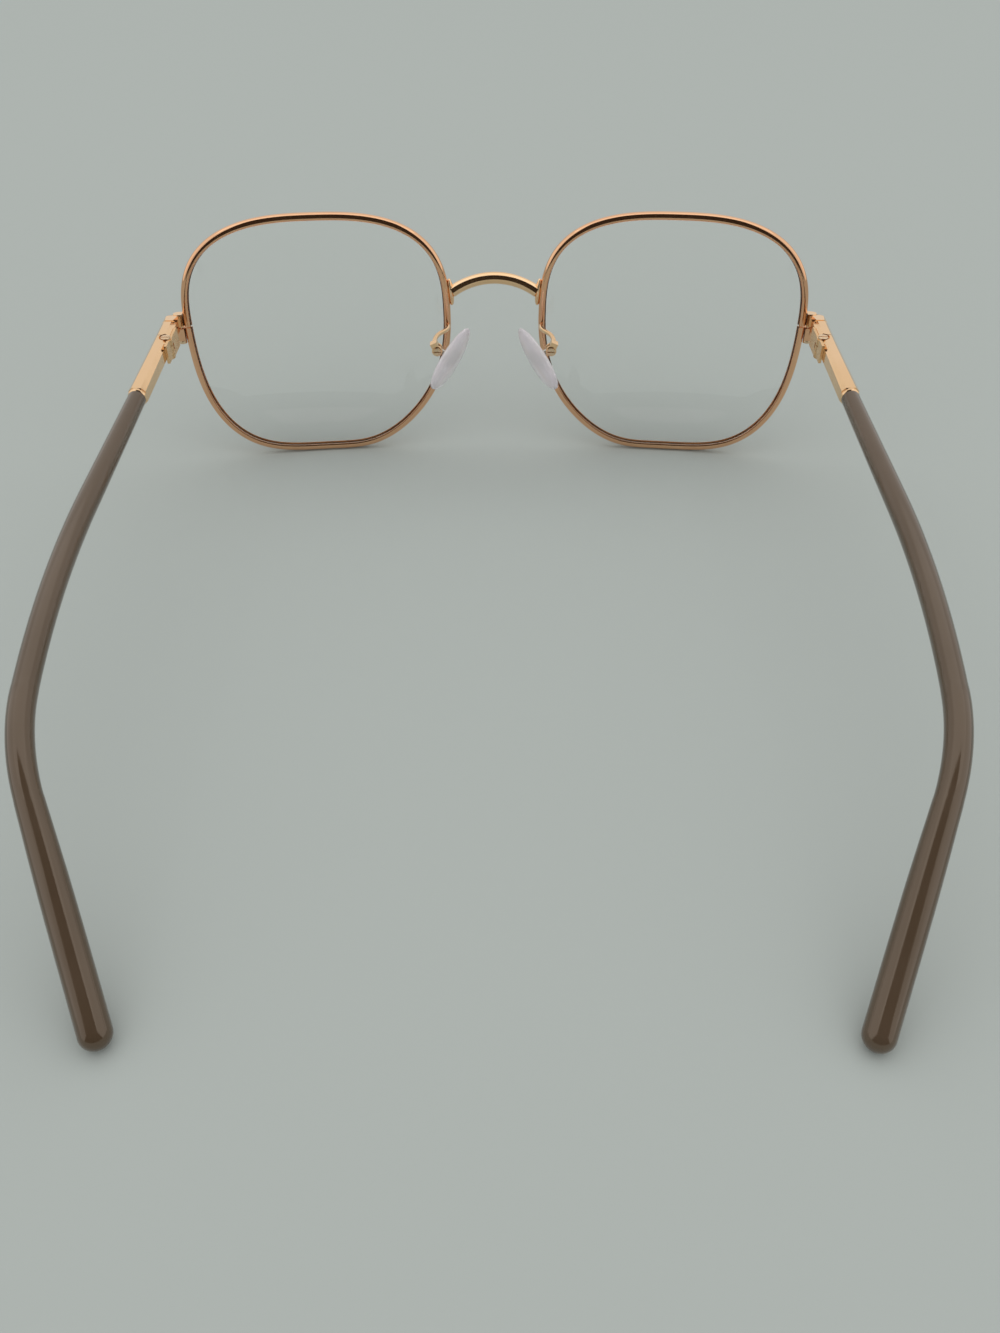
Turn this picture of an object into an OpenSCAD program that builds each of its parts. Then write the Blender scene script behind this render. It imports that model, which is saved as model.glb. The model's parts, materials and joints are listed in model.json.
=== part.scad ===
// Square wire-rim eyeglasses, standing open on the rims and the temple tips.
// X runs to the wearer's left, Y to the back along the temples, Z up, in millimetres.
// The origin lies on the table, in the middle of the glasses.

/* [Lens] */
// Width of one lens
lens_w = 51; // [48:1:56]
// Height of one lens
lens_h = 46.4; // [42:0.2:50]
// Height of the widest place of the lens above its middle
lens_pole = 3.6; // [2:0.1:5]
// Thickness of the lens
lens_t = 1.6; // [1.4:0.1:1.8]
// Radius of the curved front of the lens
lens_curve = 118; // [100:1:200]
// Width of the slanted edge that runs in the groove of the rim
bevel_w = 0.4; // [0.4:0.05:0.6]
// Squareness of the upper outer corner, where 2 is an ellipse
upper_outer = 2.75; // [2.3:0.05:3]
// Squareness of the upper inner corner
upper_inner = 2.95; // [2.5:0.05:3.2]
// Squareness of the lower inner corner
lower_inner = 3.5; // [3:0.1:3.8]
// Squareness of the lower outer corner
lower_outer = 3.75; // [3.2:0.05:4]
// Share by which the lower half narrows to its foot at the outer side
taper_outer = 0.16; // [0.1:0.01:0.2]
// Share by which the lower half narrows to its foot at the nose
taper_inner = 0.35; // [0.3:0.01:0.38]

/* [Front] */
// Distance between the two lenses at the nose
bridge_w = 19.5; // [17:0.5:22]
// Lean of the front, with its top to the front
lean = 7.5; // [5:0.1:10]
// Turn of each lens to the back at its outer side
wrap = 4.9; // [2:0.1:6]

/* [Rim] */
// Reach of the rim wire outside the edge of the lens
rim_out = 1; // [0.9:0.1:1.3]
// Reach of the two lips of the rim over the lens
rim_lip = 0.3; // [0.25:0.05:0.4]
// Depth of the rim wire from front to back
rim_depth = 1.9; // [1.8:0.1:2.4]
// Width of the groove between the lips
groove_w = 1.3; // [1.25:0.05:1.4]
// Gap where the rim is split for the lens
split_gap = 0.3; // [0.2:0.1:0.5]

/* [Closing block] */
// Radius of the two halves of the block that closes the rim
block_r = 1; // [0.9:0.05:1.1]
// Height of each half of the block
block_h = 2.5; // [2:0.1:3]
// Radius of the screw that closes the rim
rim_screw_r = 0.55; // [0.45:0.05:0.6]
// Radius of the head of that screw
rim_head_r = 0.8; // [0.7:0.05:0.9]
// Height of the head of that screw
rim_head_h = 0.6; // [0.4:0.1:0.8]

/* [Bridge] */
// Thickness of the bridge wire
bridge_d = 2.3; // [2.1:0.1:2.8]
// Height above the middle of the lens where the bridge meets the rims
bridge_up = 8.2; // [7:0.1:9]
// Rise of the middle of the bridge
bridge_rise = 2.2; // [1.8:0.1:3.4]
// Reach of the middle of the bridge to the front
bridge_fwd = 1.6; // [1:0.1:2.4]
// Height of each foot of the bridge along the rim
foot_h = 5.6; // [4.5:0.1:6.5]
// Thickness of each foot in its middle
foot_t = 0.9; // [0.7:0.1:1.2]
// Depth of the flat along the back of the bridge wire
bridge_flat = 0.25; // [0.1:0.05:0.5]

/* [Nose pads] */
// Length of a nose pad
pad_len = 14; // [12:0.5:15]
// Width of a nose pad
pad_w = 6.8; // [6:0.2:7.5]
// Thickness of a nose pad
pad_t = 2.6; // [2.2:0.1:3]
// Lean of a pad outward at its foot
pad_lean = 30; // [24:1:34]
// Turn of a pad outward at its back edge
pad_splay = 30; // [20:1:34]
// Slant of a pad to the back at its foot
pad_slant = 9; // [5:1:12]
// Distance of the pad screw outward from the lens edge at the nose
pad_out = 1.35; // [1.1:0.05:2.2]
// Distance of the pad screw behind the middle of the lens edge
pad_back = 11; // [9:0.5:12]
// Height of the pad screw above the middle of the lens
pad_up = 2; // [1:0.1:3]
// Radius of the pad arm wire
arm_r = 0.45; // [0.35:0.05:0.5]
// Radius of the round box that holds the pad
box_r = 1.05; // [0.95:0.05:1.15]
// Thickness of the tongue in the box
tongue_t = 0.6; // [0.5:0.05:0.7]
// Thickness of each cheek of the box
cheek_t = 0.4; // [0.35:0.05:0.45]
// Radius of the pad screw
pad_screw_r = 0.4; // [0.35:0.05:0.45]
// Radius of the head of the pad screw
pad_head_r = 0.8; // [0.7:0.05:0.85]
// Height of the head of the pad screw
pad_head_h = 0.35; // [0.3:0.05:0.4]
// Radius of the metal plate that is set in the back of the pad
plate_r = 1.6; // [1.4:0.1:1.8]
// Thickness of that plate
plate_t = 0.8; // [0.6:0.1:0.9]
// Distance from the pad screw to the middle of that plate
plate_reach = 1.95; // [1.9:0.05:2.2]

/* [Endpiece and hinge] */
// Length from the closing block back to the seam of the hinge
endpiece_len = 9.5; // [9:0.5:11]
// Width of the metal bar at the hinge
bar_w = 2.8; // [2.6:0.1:3.2]
// Height of the metal bar at the hinge
bar_h = 3.6; // [3.2:0.1:4.2]
// Bevel along the edges of the metal bar
bar_bevel = 0.7; // [0.4:0.1:0.9]
// Offset of the middle of the bar outward from the closing block
bar_offset = 1; // [0.8:0.05:1.4]
// Height of the middle of the bar above the split of the rim
bar_rise = 1.3; // [1.2:0.1:1.8]
// Gap of the seam between endpiece and temple
seam_gap = 0.12; // [0.1:0.02:0.2]
// Radius of the hinge knuckles
knuckle_r = 1.15; // [1.1:0.05:1.25]
// Height of the three knuckles together
hinge_h = 3.8; // [3.6:0.1:4.4]
// Distance of the hinge axis behind the seam
hinge_back = 0.8; // [0.7:0.05:0.9]
// Distance of the hinge axis inward from the middle of the bar
hinge_in = 0.9; // [0.85:0.05:1.1]
// Thickness of the two hinge leaves
leaf_t = 0.5; // [0.4:0.05:0.6]
// Length of each hinge leaf along the bar
leaf_len = 4; // [3:0.5:4.5]
// Radius of the hinge screw
hinge_screw_r = 0.65; // [0.55:0.05:0.7]
// Radius of the head of the hinge screw
hinge_head_r = 0.95; // [0.85:0.05:1]
// Height of the head of the hinge screw
hinge_head_h = 0.42; // [0.3:0.02:0.5]
// Running clearance in the hinge and the pad box
run_gap = 0.05; // [0.03:0.01:0.07]

/* [Temple] */
// Length of the metal bar of the temple
bar_len = 19; // [14:0.5:22]
// Width and height of the bar where the sleeve begins
collar_d = 3.4; // [3.3:0.1:3.8]
// Length of the straight part of the temple from the hinge to the gentle curve
straight_len = 49; // [44:1:54]
// Radius of the gentle curve
long_r = 250; // [200:10:400]
// Turn of the gentle curve
long_turn = 9; // [6:0.5:11]
// Direction of the gentle curve, from 0 for down to 90 for inward
long_side = 59; // [45:1:75]
// Length of the short straight part before the bend behind the ear
ear_gap = 1; // [0.5:0.5:5]
// Radius of the bend behind the ear
ear_r = 33; // [28:1:40]
// Turn of the bend behind the ear
ear_turn = 29; // [24:1:34]
// Direction of that bend, from 0 for down to 90 for inward
ear_side = 35; // [25:1:45]
// Length of the straight end behind the ear
end_len = 31; // [27:1:35]
// Part of that end that is a plain cylinder
grip_len = 20; // [15:1:24]
// Radius of the sleeve where it leaves the metal bar
sleeve_r = 1.6; // [1.5:0.05:1.65]
// Radius of the sleeve along the gentle curve
sleeve_mid_r = 1.85; // [1.7:0.05:1.9]
// Radius of the sleeve in the bend behind the ear
sleeve_ear_r = 1.9; // [1.8:0.05:2.1]
// Radius of the end of the sleeve
tip_r = 2.2; // [2.1:0.05:2.4]
// Turn of the temple outward from the front
temple_splay = 2.2; // [0.5:0.1:3]
// Radius of the wire inside the sleeve
core_r = 0.6; // [0.5:0.05:0.7]
// Depth of the wire's socket in the metal bar
socket_len = 5; // [3:0.5:6]
// Length of the solid end of the sleeve behind the wire
blind_len = 12; // [8:1:16]

/* [Hidden] */

// Seats: the gap of a brazed or screwed seat, and of the lens in its groove
seat_gap = 0.02;
groove_play = 0.05;
bevel_play = 0.03;
// Angle between two stations along the outline of the lens
facet = 5;
// Sides of fine and of small round parts
round_fn = 48;
small_fn = 32;
// Length by which a cut runs past what it cuts, and by which straight parts run into a bend
past = 1;
bend_lap = 0.15;
bar_step = 0.01;
sleeve_step = 0.03;
thin = 0.01;
// Widths and depths of the slots in the screws
slot_w = 0.24;
slot_deep = 0.2;
// Rim: rounding of its lips, and the shares of its depth and reach that stay flat
lip_round = 0.12;
lip_share = 0.8;
wire_top = 0.6;
wire_side = 0.5;
// Closing block: distance behind the middle of the rim, and the share that the screw reaches up
block_back = 0.3;
screw_share = 0.8;
bore_share = 0.85;
// Hinge: drop of the top knuckle under the top of the bar, and the height of the temple leaf
knuckle_drop = 0.45;
leaf_share = 0.95;

half_w = lens_w / 2;
half_h = lens_h / 2;
lens_x = bridge_w / 2 + half_w;
rim_half = rim_depth / 2;

// A vector turned about one axis
function turn_x(v, a) = [v.x, v.y * cos(a) - v.z * sin(a), v.y * sin(a) + v.z * cos(a)];
function turn_y(v, a) = [v.x * cos(a) + v.z * sin(a), v.y, v.z * cos(a) - v.x * sin(a)];
function turn_z(v, a) = [v.x * cos(a) - v.y * sin(a), v.x * sin(a) + v.y * cos(a), v.z];

// Outline of the lens about its middle: four quarters of a superellipse
function squareness(t) = cos(t) >= 0
    ? (sin(t) >= 0 ? upper_outer : lower_outer)
    : (sin(t) >= 0 ? upper_inner : lower_inner);
function quarter_h(t) = sin(t) >= 0 ? half_h - lens_pole : half_h + lens_pole;
function edge_reach(t) = let (n = squareness(t))
    pow(pow(abs(cos(t)) / half_w, n) + pow(abs(sin(t)) / quarter_h(t), n), -1 / n);
function taper(t) = sin(t) >= 0 ? 0 : cos(t) >= 0 ? taper_outer : taper_inner;
function edge_point(t) = let (p = edge_reach(t) * [cos(t), sin(t)], low = p.y / quarter_h(t))
    [p.x * (1 - taper(t) * low * low), lens_pole + p.y];
function edge_normal(t) = let (d = edge_point(t + 0.5) - edge_point(t - 0.5)) [d.y, -d.x] / norm(d);
function outline(t, out) = edge_point(t) + out * edge_normal(t);

// Height of the curved lens surface in front of the plane of its upper and lower edge
function crown(p) = sqrt(lens_curve * lens_curve - p * p) - sqrt(lens_curve * lens_curve - half_h * half_h);

// A point of a wire that follows the lens edge, on the chord between two stations
function station(t, out, fore) = concat(outline(t, out), crown(edge_point(t)) + fore);
function wire_point(t, out, fore) = let (low = floor(t / facet) * facet, part = (t - low) / facet)
    (1 - part) * station(low, out, fore) + part * station(low + facet, out, fore);

// Place of the left lens: a point of its plane, in the directions out, up and fore
function lens_turn(p) = turn_z(turn_x(p, 90 + lean), wrap);
rim_front_points = [for (t = [0:facet:360 - facet]) lens_turn(station(t, rim_out, rim_half))];
rim_back_points = [for (t = [0:facet:360 - facet]) lens_turn(station(t, rim_out, -rim_half))];
lens_z = -min([for (p = concat(rim_front_points, rim_back_points)) p.z]);
lens_y = -half_h * sin(lean);
function front_point(p) = [lens_x, lens_y, lens_z] + lens_turn(p);

// Closing block, beside the rim at its widest place
block_flat = half_w + rim_out + seat_gap;
block_out = block_flat + rim_head_r;
block_fore = crown(edge_point(0)) - block_back;
block_point = front_point([block_out, lens_pole, block_fore]);

// Seam and axis of the left hinge
seam_point = block_point + [bar_offset, endpiece_len, bar_rise];
hinge_point = seam_point + [-hinge_in, hinge_back, 0];
knuckle_top = seam_point.z + bar_h / 2 - knuckle_drop;
knuckle_low = knuckle_top - hinge_h;
knuckle_h = (hinge_h - 2 * run_gap) / 3;
// Space round a knuckle that the corner of the other leaf swings through
leaf_reach = bar_w / 2 + seat_gap + leaf_t - hinge_in;
leaf_sweep = max(norm([leaf_reach, leaf_reach]), knuckle_r + 2 * run_gap);

// Centre line of the temple at no droop, from the seam
function bend_turn(v, side, angle) = turn_y(turn_x(turn_y(v, -side), -angle), side);
function bend_end(side, r, angle) = turn_y([0, r * sin(angle), r * (cos(angle) - 1)], side);
ear_start = [0, straight_len, 0] + bend_end(long_side, long_r, long_turn)
    + bend_turn([0, ear_gap, 0], long_side, long_turn);
ear_end = ear_start + bend_turn(bend_end(ear_side, ear_r, ear_turn), long_side, long_turn);
end_dir = bend_turn(bend_turn([0, 1, 0], ear_side, ear_turn), long_side, long_turn);
flat_tip = ear_end + end_len * end_dir;
// Droop that brings the tip down to the table
tip_reach = norm([flat_tip.y, flat_tip.z]);
droop = asin((seam_point.z - tip_r) / tip_reach) - atan2(-flat_tip.z, flat_tip.y);
tip_point = seam_point + turn_z(turn_x(flat_tip, -droop), -temple_splay);

// The glasses are centred between the front of the rims and the temple tips
front_most = lens_y + min([for (p = rim_front_points) p.y]);
centre_y = -(front_most + tip_point.y + tip_r) / 2;

// Bridge: an arc whose plane leans to the front as it rises
foot_mid = asin((bridge_up - lens_pole) / half_w);
foot_point = front_point(wire_point(180 - foot_mid, rim_out + foot_t / 2, 0));
bridge_sag = norm([bridge_rise, bridge_fwd]);
bridge_tilt = atan2(bridge_fwd, bridge_rise);
bridge_r = (foot_point.x * foot_point.x + bridge_sag * bridge_sag) / (2 * bridge_sag);
bridge_half = asin(foot_point.x / bridge_r);
foot_span = foot_h / half_w * 180 / PI / 2;

// Nose pad: the axis of its screw and the way to the nose
pad_edge = station(180, 0, 0);
pad_root = front_point([pad_edge.x, pad_up, pad_edge.z]);
pad_axis = [bridge_w / 2 + pad_out, pad_root.y + pad_back, pad_root.z];
pad_face = turn_x(turn_y(turn_z([-1, 0, 0], -pad_splay), -pad_lean), pad_slant);
neck_fall = atan2(-pad_face.z, -pad_face.x);
neck_dir = [-cos(neck_fall), 0, -sin(neck_fall)];
neck_len = plate_reach / (neck_dir * pad_face);
tongue_in = 0.2;
tongue_r = box_r - tongue_in;
box_half = tongue_t / 2 + run_gap + cheek_t;
web_lap = 0.1;
web_in = box_r - web_lap;
web_t = 0.8;
web_half = 0.7;
web_rise = 65;
neck_h = 0.8;
arm_place = 0.35;
arm_reach = 0.5;
arm_start = front_point([pad_edge.x - rim_out * arm_place, pad_up, pad_edge.z - rim_half - seat_gap]);
arm_end = pad_axis + turn_y([web_in + web_t / 2, -box_half, 0], -web_rise);

gold = "#d9a066";
bright_gold = "#e8b883";
steel = "#c9c4bc";
clear = [0.86, 0.9, 0.9, 0.35];
silicone = [0.9, 0.87, 0.93, 0.7];
taupe = "#655747";

// Places the whole pair over the origin, and mirrors a piece for the other side
module left() translate([0, centre_y, 0]) children();
module right() mirror([1, 0, 0]) left() children();
module on_lens() translate([lens_x, lens_y, lens_z]) rotate([0, 0, wrap]) rotate([90 + lean, 0, 0]) children();

// A solid through a list of rings of points, closed by flat ends
module skin(rings) {
    n = len(rings[0]);
    last = (len(rings) - 1) * n;
    polyhedron(
        [for (ring = rings) each ring],
        concat(
            [[for (i = [0:n - 1]) i]],
            [for (j = [0:len(rings) - 2]) for (i = [0:n - 1])
                [j * n + i, (j + 1) * n + i, (j + 1) * n + (i + 1) % n, j * n + (i + 1) % n]],
            [[for (i = [0:n - 1]) last + n - 1 - i]]
        )
    );
}

// Rim wire with a groove for the lens edge, split at the outer side
module rim() {
    lip = groove_w / 2;
    lip_in = lip_share * rim_lip;
    lip_high = rim_half - lip_round;
    top = wire_top * rim_out;
    side = wire_side * rim_half;
    section = [
        [groove_play, 0], [-rim_lip, lip], [-lip_in, lip_high], [0, rim_half],
        [top, rim_half], [rim_out, side], [rim_out, -side],
        [top, -rim_half], [0, -rim_half], [-lip_in, -lip_high], [-rim_lip, -lip]
    ];
    gap = asin(split_gap / 2 / half_w);
    stops = concat([gap], [for (t = [facet:facet:360 - facet]) t], [360 - gap]);
    on_lens() skin([for (t = stops) [for (p = section) wire_point(t, p.x, p.y)]]);
}

// Lens with two curved faces and a bevelled edge
module lens() {
    shares = [0.36, 0.7, 1];
    turns = [for (t = [0:facet:360 - facet]) t];
    n = len(turns);
    function face_ring(share, fore) = [for (t = turns)
        let (p = share * outline(t, -bevel_w - bevel_play)) [p.x, p.y, crown(p) + fore]];
    rings = concat(
        [for (s = shares) face_ring(s, lens_t / 2)],
        [[for (t = turns) station(t, -bevel_play, 0)]],
        [for (i = [len(shares) - 1:-1:0]) face_ring(shares[i], -lens_t / 2)]
    );
    poles = [[0, 0, crown([0, 0]) + lens_t / 2], [0, 0, crown([0, 0]) - lens_t / 2]];
    last = (len(rings) - 1) * n;
    on_lens() polyhedron(
        concat([for (ring = rings) each ring], poles),
        concat(
            [for (i = [0:n - 1]) [len(rings) * n, (i + 1) % n, i]],
            [for (j = [0:len(rings) - 2]) for (i = [0:n - 1])
                [j * n + i, j * n + (i + 1) % n, (j + 1) * n + (i + 1) % n, (j + 1) * n + i]],
            [for (i = [0:n - 1]) [len(rings) * n + 1, last + i, last + (i + 1) % n]]
        )
    );
}

// One half of the closing block, from one height to another beside the rim
module block_half(low, high) {
    on_lens() translate([0, low, 0]) rotate([-90, 0, 0]) linear_extrude(high - low) {
        intersection() {
            translate([block_out, -block_fore]) circle(block_r, $fn = round_fn);
            translate([block_flat, -block_fore - block_r]) square(2 * block_r);
        }
        translate([block_flat, -block_fore - block_r]) square([block_out - block_flat, 2 * block_r]);
    }
}

// A round bar on the axis of the closing block
module on_block(low, high, r) {
    on_lens() translate([block_out, low, block_fore]) rotate([-90, 0, 0])
        cylinder(h = high - low, r = r, $fn = small_fn);
}

module rim_lock() {
    difference() {
        block_half(lens_pole - split_gap / 2 - block_h, lens_pole - split_gap / 2);
        on_block(lens_pole - block_h - past, lens_pole + past, rim_screw_r + run_gap);
    }
}

// Screw that pulls the two halves together, with its slotted head below
module rim_screw() {
    seat = lens_pole - split_gap / 2 - block_h;
    difference() {
        union() {
            on_block(seat - rim_head_h / 2, lens_pole + block_h * screw_share, rim_screw_r);
            on_block(seat - rim_head_h, seat, rim_head_r);
        }
        on_lens() translate([block_out - past, seat - rim_head_h - past, block_fore - slot_w / 2])
            cube([2 * past, past + slot_deep, slot_w]);
    }
}

// Section of the metal bar: a rectangle with bevelled edges
module bar_section(w, h) {
    x = w / 2;
    y = h / 2;
    b = bar_bevel;
    polygon([[x - b, -y], [x, b - y], [x, y - b], [x - b, y], [b - x, y], [-x, y - b], [-x, b - y], [b - x, -y]]);
}

// A round bar on the axis of the hinge
module on_hinge(low, high, r) {
    translate([hinge_point.x, hinge_point.y, low]) cylinder(h = high - low, r = r, $fn = round_fn);
}

// Lug: its clearance to the rim, its rounded front corner, and the slot and step across its top
rim_clear = 0.12;
lug_nose = 0.7;
lug_front = 0.2;
corner_len = 3;
lug_clear = 0.15;
lug_drop = 2.8;
lug_slot = 4;
lug_slot_w = 0.7;
lug_slot_deep = 0.5;
lug_step = 0.1;
lug_fall = 0.8;

// Lug from the upper half of the closing block to the seam of the hinge
module endpiece() {
    outer = seam_point.x + bar_w / 2;
    inner = seam_point.x - bar_w / 2;
    lug_in = front_point([block_flat, lens_pole, 0]).x + rim_clear;
    nose = block_point.y - lug_nose * block_r;
    step_y = front_point([block_flat, lens_pole, block_fore + block_back - rim_half]).y + 2 * rim_clear;
    corner_w = outer - block_point.x - lug_front;
    under = block_point.z + split_gap / 2 + lug_clear;
    low = seam_point.z - bar_h / 2;
    top = seam_point.z + bar_h / 2;
    slot_y = block_point.y + lug_slot;
    slot_low = top - lug_slot_deep;
    step_top = top - lug_step;
    plan = concat(
        [[inner, seam_point.y], [inner, step_y + abs(lug_in - inner)], [lug_in, step_y], [lug_in, nose]],
        [for (a = [-90:15:0]) [outer - corner_w + corner_w * cos(a), nose + corner_len + corner_len * sin(a)]],
        [[outer, seam_point.y]]
    );
    side = [
        [nose, under], [block_point.y + block_r, under], [block_point.y + lug_drop, low],
        [seam_point.y, low], [seam_point.y, top], [slot_y, top], [slot_y, slot_low],
        [slot_y - lug_slot_w, slot_low], [slot_y - lug_slot_w, step_top],
        [block_point.y + block_r, top - lug_fall / 2], [nose, top - lug_fall]
    ];
    difference() {
        union() {
            intersection() {
                translate([seam_point.x, seam_point.y, seam_point.z]) rotate([90, 0, 0])
                    linear_extrude(endpiece_len + 2 * block_r) bar_section(bar_w, bar_h);
                linear_extrude(top + past) polygon(plan);
                rotate([90, 0, 90]) linear_extrude(outer + past) polygon(side);
            }
            block_half(lens_pole + split_gap / 2, lens_pole + split_gap / 2 + block_h);
        }
        on_block(lens_pole - past, lens_pole + block_h * bore_share, rim_screw_r + seat_gap);
        on_hinge(low - past, top + past, knuckle_r + run_gap);
    }
}

// Leaf of the front with the upper and lower knuckle, brazed to the inner face of the endpiece
module front_hinge() {
    face = seam_point.x - bar_w / 2 - seat_gap;
    middle_low = knuckle_low + knuckle_h;
    difference() {
        union() {
            on_hinge(knuckle_low, knuckle_top, knuckle_r);
            translate([face - leaf_t, seam_point.y - leaf_len, knuckle_low])
                cube([leaf_t, leaf_len + hinge_back, hinge_h]);
        }
        on_hinge(middle_low, middle_low + knuckle_h + 2 * run_gap, leaf_sweep);
        on_hinge(knuckle_low - past, knuckle_top + past, hinge_screw_r + seat_gap);
    }
}

// Screw of the hinge, with its slotted head level with the top of the bar
module hinge_screw() {
    difference() {
        union() {
            on_hinge(knuckle_low, knuckle_top + hinge_head_h / 2, hinge_screw_r);
            on_hinge(knuckle_top, knuckle_top + hinge_head_h, hinge_head_r);
        }
        translate([
            hinge_point.x - past - hinge_head_r, hinge_point.y - slot_w / 2,
            knuckle_top + hinge_head_h - slot_deep
        ])
            cube([2 * (past + hinge_head_r), slot_w, past]);
    }
}

// Frame of the left temple: origin on the seam, Y along its straight part
module on_temple() translate(seam_point) rotate([0, 0, -temple_splay]) rotate([-droop, 0, 0]) children();
module bent(side, r, angle) {
    rotate([0, side, 0]) translate([0, 0, -r]) rotate([-angle, 0, 0]) translate([0, 0, r])
        rotate([0, -side, 0]) children();
}
module arc_bar(side, r, angle, bar_r) {
    rotate([0, side, 0]) translate([0, 0, -r]) rotate([0, -90, 0])
        rotate_extrude(angle = angle, $fn = 360) translate([r, 0]) circle(bar_r, $fn = small_fn);
}
module straight_bar(length, r1, r2) rotate([-90, 0, 0]) cylinder(h = length, r1 = r1, r2 = r2, $fn = small_fn);

// Knuckle and leaf of the temple, brazed to the inner face of the bar
module temple_hinge() {
    middle_low = knuckle_low + knuckle_h + run_gap;
    middle_high = middle_low + knuckle_h;
    difference() {
        union() {
            on_hinge(middle_low, middle_high, knuckle_r);
            difference() {
                on_temple() translate([-bar_w / 2 - seat_gap - leaf_t, hinge_back, -hinge_h / 2])
                    cube([leaf_t, leaf_len - hinge_back, hinge_h * leaf_share]);
                on_hinge(middle_high + run_gap / 2, middle_high + hinge_h, leaf_sweep);
                on_hinge(middle_low - hinge_h, middle_low - run_gap / 2, leaf_sweep);
            }
        }
        on_hinge(knuckle_low - past, knuckle_top + past, hinge_screw_r + run_gap);
    }
}

// Collar: length and rounding of its lip, and its section where the bar reaches it
lip_len = 0.8;
lip_root = 0.25;
lip_step = 0.25;
lip_turn = 0.1;
collar_w_share = 0.93;
collar_h_share = 0.98;

// Metal bar of the temple, which widens to a collar round the end of the sleeve
module temple_front() {
    lip_r = collar_d / 2;
    flare = leaf_len + past;
    difference() {
        on_temple() {
            translate([0, flare, 0]) rotate([90, 0, 0])
                linear_extrude(flare + hinge_back) bar_section(bar_w, bar_h);
            hull() {
                translate([0, flare, 0]) rotate([90, 0, 0]) linear_extrude(thin) bar_section(bar_w, bar_h);
                translate([0, bar_len - lip_len, 0]) rotate([90, 0, 0])
                    linear_extrude(thin) bar_section(collar_d * collar_w_share, collar_d * collar_h_share);
            }
            translate([0, bar_len - lip_len, 0]) rotate([-90, 0, 0])
                rotate_extrude($fn = round_fn) polygon([
                    [0, -lip_root], [lip_r - lip_step, -lip_root], [lip_r, lip_turn], [lip_r, lip_len - lip_root],
                    [lip_r - lip_turn, lip_len - lip_turn], [lip_r - lip_root, lip_len], [0, lip_len]
                ]);
        }
        translate([seam_point.x - bar_w, seam_point.y - 2 * hinge_back - past, seam_point.z - bar_h])
            cube([2 * bar_w, 2 * hinge_back + past + seam_gap, 2 * bar_h]);
        on_hinge(knuckle_low - past, knuckle_top + bar_h, knuckle_r + run_gap);
        on_temple() translate([0, bar_len - socket_len, 0])
            straight_bar(socket_len + past, core_r + seat_gap, core_r + seat_gap);
    }
}

// A bar of round section along the temple. Its straight parts are thinner than its bends by the step,
// and run a little way into them
module temple_bar(front, r_front, r_mid, r_ear, step) {
    on_temple() {
        translate([0, front, 0])
            straight_bar(straight_len - front + bend_lap, r_front - step, r_mid - step);
        translate([0, straight_len, 0]) {
            arc_bar(long_side, long_r, long_turn, r_mid);
            bent(long_side, long_r, long_turn) {
                translate([0, -bend_lap, 0])
                    straight_bar(ear_gap + 2 * bend_lap, r_mid - step, r_ear - step);
                translate([0, ear_gap, 0]) {
                    arc_bar(ear_side, ear_r, ear_turn, r_ear);
                    bent(ear_side, ear_r, ear_turn) children();
                }
            }
        }
    }
}

// Wire inside the sleeve, from its socket in the bar to the blind end
module temple_core() {
    temple_bar(bar_len - socket_len + seat_gap, core_r, core_r, core_r, bar_step)
        translate([0, -bend_lap, 0])
        straight_bar(end_len - blind_len + bend_lap, core_r - bar_step, core_r - bar_step);
}

// Soft sleeve over the wire, thicker towards the end, with a round tip
module temple_sleeve() {
    bore = core_r + run_gap;
    difference() {
        temple_bar(bar_len + seat_gap, sleeve_r, sleeve_mid_r, sleeve_ear_r, sleeve_step)
            rotate([-90, 0, 0]) rotate_extrude($fn = round_fn) polygon(concat(
                [[0, -bend_lap], [sleeve_ear_r - sleeve_step, -bend_lap], [tip_r, end_len - grip_len]],
                [for (a = [0:9:90]) [tip_r * cos(a), end_len + tip_r * sin(a)]]
            ));
        temple_bar(bar_len - past, bore, bore, bore, -bar_step)
            translate([0, -bend_lap, 0])
            straight_bar(end_len - blind_len + bend_lap + run_gap, bore + bar_step, bore + bar_step);
    }
}

// Bridge: one arc of wire with a flat back, brazed to both rims by long feet
module bridge_piece() {
    bow = bridge_d / 2;
    difference() {
        union() {
            translate([0, foot_point.y, foot_point.z]) rotate([bridge_tilt, 0, 0])
                translate([0, 0, bridge_sag - bridge_r]) rotate([90, 0, 0])
                rotate([0, 0, 90 - bridge_half]) rotate_extrude(angle = 2 * bridge_half, $fn = 180)
                translate([bridge_r, 0]) intersection() {
                    circle(bow, $fn = small_fn);
                    translate([-bow, bridge_flat - bow]) square([2 * bow, 2 * bow]);
                }
            bridge_foot();
            mirror([1, 0, 0]) bridge_foot();
        }
        rim_space();
        mirror([1, 0, 0]) rim_space();
    }
}
// Foot: its sections along the rim, how far it thins to its ends, and the bevel along its edges
foot_stops = [-1, -0.6, -0.2, 0.2, 0.6, 1];
foot_thin = 0.6;
foot_depth = 0.9;
foot_edge = 0.7;
foot_flat = 0.6;
foot_sink = 0.2;
module bridge_foot() {
    half = rim_half * foot_depth;
    flat = half * foot_flat;
    low = rim_out - foot_sink;
    on_lens() skin([for (k = foot_stops)
        let (t = 180 - foot_mid + k * foot_span, thick = foot_t * (1 - foot_thin * k * k)) [
            wire_point(t, low, half), wire_point(t, rim_out + thick * foot_edge, half),
            wire_point(t, rim_out + thick, flat), wire_point(t, rim_out + thick, -flat),
            wire_point(t, rim_out + thick * foot_edge, -half), wire_point(t, low, -half)
        ]]);
}
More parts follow.
